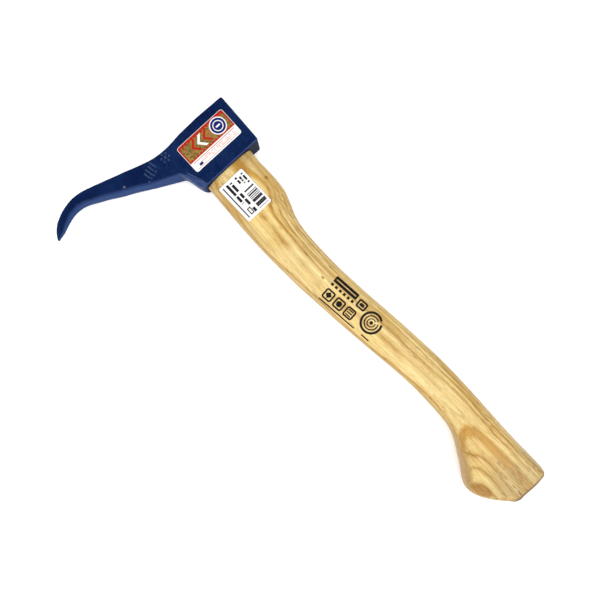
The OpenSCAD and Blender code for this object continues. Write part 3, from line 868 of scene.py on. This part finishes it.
    # browner places: round the collar, and two small knots
    brown = ramp(disc(x, y, -26.0, -10.0, 5.0), -5.0, 9.0, 1.0, 0.0) * 0.50
    for cx, cy, w, h, way in ((-49.4, -17.8, 2.0, 1.5, 4.0), (-140.0, 0.8, 1.9, 0.9, 4.0), (-350.8, 15.8, 9.4, 4.7, 23.0)):
        a, b = turned(x, y, cx, cy, way)
        a, b = a / w, b / h
        brown = most(brown, ramp(root(a * a + b * b) + (fibre - 0.5) * 0.5, 0.72, 1.12, 0.97, 0.0))
    brown = brown * ramp(z, 17.0, 20.0) * ramp(fibre, 0.3, 0.6, 0.6, 1.0)
    colour = mix(t, colour, (0.31, 0.25, 0.125), ramp(x, -330.0, -364.0) * ramp(y, 22.0, 4.0, 0.20, 0.36))
    colour = mix(t, colour, (0.29, 0.132, 0.020), brown)
    colour = mix(t, colour, (0.22, 0.115, 0.030), pore * (most(band, most(arch * 0.5, ramp(x, -325.0, -352.0) * ramp(y, 2.0, -6.0))) * 0.76 + 0.22))
    # a dark band along the butt's rim: end grain and painted shade
    colour = mix(t, colour, (0.20, 0.130, 0.060), ramp(carried(t, "rim"), 0.28, 0.45) * 0.95)
    ink = stamp_mask(t, x, y, z) * ramp(hair * 0.5 + fibre * 0.3 + noise(mm, 0.9, 3.0) * 0.4, 0.84, 0.66, 0.86, 1.0)
    colour = mix(t, colour, (0.0055, 0.0040, 0.0035), ink)
    plug(t, s.inputs["Base Color"], colour)
    plug(t, s.inputs["Roughness"], ramp(fibre, 0.3, 0.7, 0.36, 0.46) + pore * band * 0.15 + ramp(cross, 0.5, 0.95) * 0.12)
    s.inputs["Specular IOR Level"].default_value = 0.18
    s.inputs["Coat Weight"].default_value = 0.16
    s.inputs["Coat Roughness"].default_value = 0.3
    s.inputs["Coat IOR"].default_value = 1.45
    relief(t, s, fibre * 0.3 + hair * 0.1 - pore * (band * 0.5 + 0.1) - streak * 0.12 + ink * 0.05, 0.10)
    return m


def wedge_wood():
    """Bare hardwood, seen on its end."""
    m, t, s, mm = start("wedge_wood")
    x, y, z = split(mm)
    line = sine((y + noise(mm, 0.16, 2.0) * 5.0) * 3.1) * 0.5 + 0.5
    pore = ramp(cells(scaled(mm, 0.2, 2.4, 2.4), 1.0), 0.34, 0.12)
    fibre = noise(scaled(mm, 0.08, 2.0, 2.0), 1.0, 3.0, 0.6)
    colour = mix(t, (0.47, 0.29, 0.13), (0.33, 0.185, 0.07), line * 0.6 + fibre * 0.3)
    colour = mix(t, colour, (0.13, 0.07, 0.03), pore * 0.6)
    plug(t, s.inputs["Base Color"], colour)
    plug(t, s.inputs["Roughness"], ramp(fibre, 0.3, 0.7, 0.62, 0.78))
    relief(t, s, fibre * 0.3 - pore * 0.5, 0.12)
    return m


def wedge_steel():
    """Plain rolled steel, dull, with a bruised end and a little rust."""
    m, t, s, mm = start("wedge_steel")
    pits = noise(mm, 1.4, 3.0, 0.6)
    brush = noise(scaled(mm, 0.25, 4.0, 1.2), 1.0, 3.0, 0.6)
    rust = ramp(noise(mm, 0.5, 4.0, 0.6), 0.54, 0.68)
    colour = mix(t, (0.42, 0.42, 0.43), (0.29, 0.29, 0.30), pits)
    colour = mix(t, colour, (0.17, 0.075, 0.03), rust * 0.7)
    plug(t, s.inputs["Base Color"], colour)
    plug(t, s.inputs["Metallic"], 1.0 - rust * 0.8)
    plug(t, s.inputs["Roughness"], ramp(brush, 0.3, 0.7, 0.36, 0.52) + rust * 0.3)
    relief(t, s, brush * 0.3 + pits * 0.5 + rust * 0.3, 0.05)
    return m


def cheek_print():
    """A printed film label with a plain design: a coloured field with teeth, a disc and chevrons, and a white strip."""
    m, t, s, mm = start("label_print")
    x, y, z = split(mm)
    u, v = turned(x, y, 1.0, -2.0, 91.5)
    speck = noise(mm, 1.3, 3.0, 0.6)
    soft = noise(mm, 0.12, 2.0, 0.5)
    red, olive, blue, white = (0.37, 0.014, 0.006), (0.150, 0.110, 0.030), (0.006, 0.014, 0.125), (0.79, 0.78, 0.75)
    colour = mix(t, (0.34, 0.175, 0.040), olive, ramp(speck * 0.6 + soft * 0.4, 0.35, 0.65))
    # leaf-like flecks on the ground
    fleck = ramp(cells(scaled(mm, 0.45, 0.30, 1.0), 1.0), 0.40, 0.28)
    colour = mix(t, colour, (0.040, 0.085, 0.022), fleck * 0.85)
    fleck = ramp(cells(shifted(scaled(mm, 0.38, 0.5, 1.0), point(t, 7.0, 3.0, 0.0)), 1.0), 0.30, 0.20)
    colour = mix(t, colour, (0.42, 0.060, 0.012), fleck * 0.75)
    # red border with teeth on both long sides of the field
    tooth = abs(fract(u / 3.2) - 0.5) * 2.0
    colour = mix(t, colour, red, inside(v + 12.5 - 2.0 - tooth * 1.9, 0.1))
    colour = mix(t, colour, red, inside(3.5 - v - (1.0 - tooth) * 1.6, 0.1))
    colour = mix(t, colour, red, inside(22.4 - abs(u), 0.1))
    # disc on the poll's half
    for r, c in ((7.1, white), (6.3, blue), (4.4, white), (3.7, blue)):
        colour = mix(t, colour, c, inside(disc(u, v, -13.2, -4.1, r), 0.1))
    colour = mix(t, colour, white, inside(box(u, v, -13.2, -4.1, 4.0, 1.3, 0.3), 0.1))
    # chevrons on the spike's half
    for i in range(3):
        a = abs(v + 4.1) * 0.9 + (u - 1.5 - 6.0 * i)
        colour = mix(t, colour, white if i == 1 else red, inside(most(abs(a) - 1.25, abs(v + 4.1) - 5.4), 0.1))
    # white strip
    strip = inside(4.2 - v, 0.1)
    colour = mix(t, colour, white, strip)
    for vv, w, c in ((5.5, 0.5, red), (11.3, 0.35, red)):
        colour = mix(t, colour, c, inside(box(u, v, 0.0, vv, 43.0, w), 0.08) * strip)
    for row, (a0, a1) in enumerate(((-20.5, 12.0), (-20.5, 19.5), (-20.5, 5.5))):
        vv = 7.0 + 1.35 * row
        dash = ramp(chance(floor(u / 0.9) * 1.7 + 11.3 * row), 0.28, 0.34)
        colour = mix(t, colour, (0.66, 0.14, 0.10), inside(box(u, v, (a0 + a1) / 2, vv, a1 - a0, 0.55), 0.1) * dash * 0.9)
    colour = mix(t, colour, blue, inside(box(u, v, 16.6, 9.4, 3.4, 2.2, 0.4), 0.1))
    # a pale rim where the film was cut, and a little rubbing
    rim = inside(-0.35 - box(u, v, 0.0, 0.0, 48.0, 25.0, 2.0), 0.1)
    colour = mix(t, colour, white, rim)
    rub = ramp(noise(mm, 2.6, 3.0, 0.7), 0.66, 0.76)
    colour = mix(t, colour, (0.70, 0.66, 0.60), rub * 0.35)
    plug(t, s.inputs["Base Color"], colour)
    plug(t, s.inputs["Roughness"], ramp(soft, 0.3, 0.7, 0.30, 0.42) + rub * 0.15)
    s.inputs["Specular IOR Level"].default_value = 0.2
    relief(t, s, noise(mm, 0.35, 2.0) * 0.8 + speck * 0.1, 0.08)
    return m


def sticker_print():
    """A white paper sticker with plain dark bars and dashed rules."""
    m, t, s, mm = start("sticker_paper")
    x, y, z = split(mm)
    u, v = turned(x, y, -49.5, 4.5, 182.5)
    pulp = noise(mm, 2.2, 4.0, 0.6)
    soft = noise(mm, 0.10, 2.0, 0.5)
    white, ink = (0.78, 0.78, 0.785), (0.010, 0.010, 0.014)
    colour = mix(t, white, (0.73, 0.73, 0.735), ramp(pulp * 0.5 + soft * 0.5, 0.4, 0.7))
    # bar block
    q = u * 1.5
    bar = ramp(chance(floor(q) + 0.21), 0.40, 0.43) * ramp(abs(fract(q) - 0.5), 0.5, 0.47)
    block = inside(box(u, v, 6.3, 6.1, 19.0, 9.6), 0.08)
    colour = mix(t, colour, ink, bar * block)
    # rules and dashes
    for vv, a0, a1, w, seed in ((9.7, -15.6, -5.4, 1.8, 3.0), (6.7, -15.6, -7.2, 1.8, 5.0), (3.7, -15.6, -9.0, 1.8, 4.0),
                                (-2.0, -15.6, 15.4, 2.3, 7.0), (-5.6, -15.6, 4.0, 2.3, 9.0), (-9.6, -15.6, 15.4, 1.0, 0.0)):
        dash = ramp(chance(floor(u / 1.15) * 1.3 + seed * 7.7), 0.24, 0.28) if seed else 1.0
        colour = mix(t, colour, ink, inside(box(u, v, (a0 + a1) / 2, vv, a1 - a0, w), 0.08) * dash)
    colour = mix(t, colour, ink, ringed(box(u, v, 12.1, -5.2, 6.0, 3.4, 0.5), 0.9))
    plug(t, s.inputs["Base Color"], colour)
    plug(t, s.inputs["Roughness"], ramp(pulp, 0.3, 0.7, 0.48, 0.6))
    s.inputs["Specular IOR Level"].default_value = 0.2
    relief(t, s, pulp * 0.25 + noise(mm, 0.28, 2.0) * 0.8, 0.06)
    return m


# ---------------------------------------------------------------- pieces
def skin(name, verts, faces, normals=None, carries=None):
    """A mesh object from points in millimetres."""
    me = bpy.data.meshes.new(name)
    me.vertices.add(len(verts))
    me.vertices.foreach_set("co", (np.asarray(verts) * 0.001).astype(np.float32).ravel())
    me.loops.add(faces.size)
    me.loops.foreach_set("vertex_index", faces.astype(np.int32).ravel())
    me.polygons.add(len(faces))
    me.polygons.foreach_set("loop_start", np.arange(len(faces), dtype=np.int32) * faces.shape[1])
    me.update(calc_edges=True)
    me.polygons.foreach_set("use_smooth", np.ones(len(faces), bool))
    for key, v in (carries or {}).items():
        v = np.asarray(v, np.float32)
        a = me.attributes.new(key, "FLOAT" if v.ndim == 1 else "FLOAT_VECTOR", "POINT")
        a.data.foreach_set("value" if v.ndim == 1 else "vector", v.ravel())
    if normals is not None:
        me.normals_split_custom_set_from_vertices(normals.tolist())
    o = bpy.data.objects.new(name, me)
    bpy.context.scene.collection.objects.link(o)
    return o


def film(name, field, cx, cy, degrees, w, h, r, thick, lift, wrinkle):
    """A thin rounded sheet that lies on a field's upper skin."""
    nu, nv = ((96, 52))

    def axis(n, half):
        # closer together at the corners
        a = np.linspace(-1, 1, n)
        return half * (a * 1.25 - a ** 3 * 0.25)
    U, V = np.meshgrid(axis(nu, w / 2), axis(nv, h / 2), indexing="ij")
    a = np.clip((np.abs(U) - (w / 2 - r)) / r, 0, 1)
    b = np.clip((np.abs(V) - (h / 2 - r)) / r, 0, 1)
    U = np.where((a > 0) & (b > 0), np.sign(U) * (w / 2 - r + r * a * np.sqrt(1 - b * b / 2)), U)
    V = np.where((a > 0) & (b > 0), np.sign(V) * (h / 2 - r + r * b * np.sqrt(1 - a * a / 2)), V)
    c, s = math.cos(math.radians(degrees)), math.sin(math.radians(degrees))
    x, y = (cx + U * c - V * s).ravel(), (cy + U * s + V * c).ravel()
    z = skin_height(field, x, y) + lift
    z = z + wrinkle * (0.5 + 0.5 * noise3(np.stack([x, y, z], 1), 6.0, 31))
    low = np.stack([x, y, z], 1)
    edge = np.minimum(w / 2 - np.abs(U), h / 2 - np.abs(V)).ravel()
    high = low + np.array([0, 0, 1.0]) * (thick * (0.72 + 0.28 * step(0, 0.4, edge)))[:, None]
    i = np.arange(nu * nv).reshape(nu, nv)
    top = np.stack([i[:-1, :-1], i[1:, :-1], i[1:, 1:], i[:-1, 1:]], -1).reshape(-1, 4)
    n = nu * nv
    rim = np.concatenate([i[:-1, 0], i[-1, :-1], i[:0:-1, -1], i[0, :0:-1]])
    nxt = np.roll(rim, -1)
    wall = np.stack([rim, nxt, nxt + n, rim + n], 1)
    faces = np.vstack([top + n, top[:, ::-1], wall])
    o = skin(name, np.vstack([low, high]), faces)
    sharp = np.zeros(len(o.data.polygons), bool)
    sharp[:2 * len(top)] = True
    o.data.polygons.foreach_set("use_smooth", sharp)
    return o


def dress(o, material, slot, *nodes):
    o.data.materials.append(material)
    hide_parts(*nodes)
    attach(o, "root")
    return o


fine = 1.0
START = (0.0, 2.0, 16.0)

v, q, n = surface(head_field, (-30, -35, -3), (46, 149, 35), 0.65 * fine, START)
_, second = head_field(v, parts=True)
dress(skin("head_body", v, q, n, {"edge": np.exp(np.minimum(second, 0) / 1.5), "steep": 1 - np.abs(n[:, 2]),
                                  "under": np.clip(-n[:, 0], 0, 1),
                                  "flank": np.clip(0.9 * n[:, 1] - 0.43 * n[:, 0], 0, 1) * step(4, -2, v[:, 0]) * step(36, 33, v[:, 1]),
                                  "rib": ribs(v[:, 0], v[:, 1]) * step(26, 29, v[:, 2]),
                                  "mark": marks(v[:, 0], v[:, 1]) * step(20, 23, v[:, 2]) / 0.48}), paint(), "head_paint", "head")

v, q, n = surface(handle_field, (-382, -38, -3), (26, 29, 35), 0.79 * fine, START)
# the blank's own fibre leans a little less than the shaped handle
LEAN = curve([(-400, -25), (-378, -23), (-300, -18), (-240, -13), (-200, -8), (-160, -3), (-120, 0), (-60, 0), (40, 0)], 6)
ring, pitch = Rings()(v, n)
grain = np.stack([v[:, 0], v[:, 1] - np.interp(v[:, 0], LEAN[:, 0], LEAN[:, 1]), v[:, 2]], 1)
dress(skin("handle_wood", v, q, n, {"ring": ring, "pitch": pitch, "grain": grain, "cross": np.abs(n[:, 0]),
                                    "steep": 1 - np.abs(n[:, 2]),
                                    "rim": np.clip(1 + end_sheet(v[:, 0], v[:, 1]) / 6.0, 0, 1) * (v[:, 0] < -345)}), ash(), "handle_ash", "handle")

v, q, n = surface(wedge_field, (-13, -22, 12), (24, 22, 20), 0.4 * fine, START)
dress(skin("wood_wedge", v, q, n), wedge_wood(), "wedge_wood", "eye_wedge")

v, q, n = surface(cross_field, (1, 0, 7), (24, 4.2, 25), 0.3 * fine, START)
dress(skin("steel_wedge", v, q, n), wedge_steel(), "wedge_steel", "cross_wedge")

dress(film("cheek_label", head_field, 1.0, -2.0, 91.5, 48.0, 25.0, 2.0, 0.16, 0.0, 0.03), cheek_print(), "label_print", "head_label")
dress(film("handle_sticker", handle_field, -49.5, 4.5, 2.5, 35.5, 25.0, 1.5, 0.14, 0.02, 0.04), sticker_print(), "sticker_paper", "handle_label")


# ---------------------------------------------------------------- room
def floor_sheet():
    me = bpy.data.meshes.new("floor")
    me.from_pydata([(-6, -6, 0), (6, -6, 0), (6, 6, 0), (-6, 6, 0)], [], [(0, 1, 2, 3)])
    o = bpy.data.objects.new("floor", me)
    o.location.z = -0.0003
    bpy.context.scene.collection.objects.link(o)
    m, t, s, mm = start("floor_pale")
    plug(t, s.inputs["Base Color"], mix(t, (0.95, 0.95, 0.95), (0.94, 0.94, 0.94), noise(mm, 0.01, 2.0)))
    s.inputs["Roughness"].default_value = 0.95
    s.inputs["Emission Color"].default_value = (1, 1, 1, 1)
    s.inputs["Emission Strength"].default_value = 0.22
    s.inputs["Specular IOR Level"].default_value = 0.1
    me.materials.append(m)


def sky():
    """A light tent that is brighter on the near side, with its top open."""
    w = bpy.data.worlds.new("room")
    bpy.context.scene.world = w
    w.use_nodes = True
    t = w.node_tree
    t.nodes.clear()
    out, bg, coord = (t.nodes.new(k) for k in ("ShaderNodeOutputWorld", "ShaderNodeBackground", "ShaderNodeTexCoord"))
    t.links.new(bg.outputs[0], out.inputs[0])
    x, y, z = split(Value(t, coord.outputs["Generated"]))
    near = ramp(x * -0.756 + y * 0.655, -0.5, 0.5, 0.42, 1.0)
    hole = ramp(x * 0.34 + z * 0.94, 0.66, 0.88, 1.0, 0.04)
    glow = hole * near * ramp(z, 0.0, 0.5, 0.25, 1.0)
    plug(t, bg.inputs["Color"], mix(t, (0.0, 0.0, 0.0), (1.0, 1.0, 1.0), glow))
    bg.inputs["Strength"].default_value = SKY


def sun(name, direction, strength, spread, shine=True):
    d = bpy.data.lights.new(name, "SUN")
    d.energy = strength
    d.angle = math.radians(spread)
    o = bpy.data.objects.new(name, d)
    o.rotation_euler = Vector(direction).to_track_quat("Z", "Y").to_euler()
    o.visible_glossy = shine
    bpy.context.scene.collection.objects.link(o)


SKY = 1.35
floor_sheet()
sky()
sun("top", (0.0, 0.0, 1.0), 2.0, 60.0, shine=False)
sun("key", (-0.42, -0.26, 0.86), 0.52, 40.0)
sun("fill", (-0.50, 0.60, 0.60), 0.24, 60.0)

cam = bpy.data.cameras.new("camera")
cam.lens = 34.8
cam.sensor_width = 36.0
cam.clip_start, cam.clip_end = 0.01, 20.0
eye = bpy.data.objects.new("camera", cam)
eye.matrix_world = Matrix(((-0.6547, 0.7559, 0, -0.1416), (-0.7559, -0.6547, 0, 0.02624), (0, 0, 1, 0.4916), (0, 0, 0, 1)))
bpy.context.scene.collection.objects.link(eye)
bpy.context.scene.camera = eye
bpy.context.scene.view_settings.view_transform = "Standard"
bpy.context.scene.view_settings.look = "None"
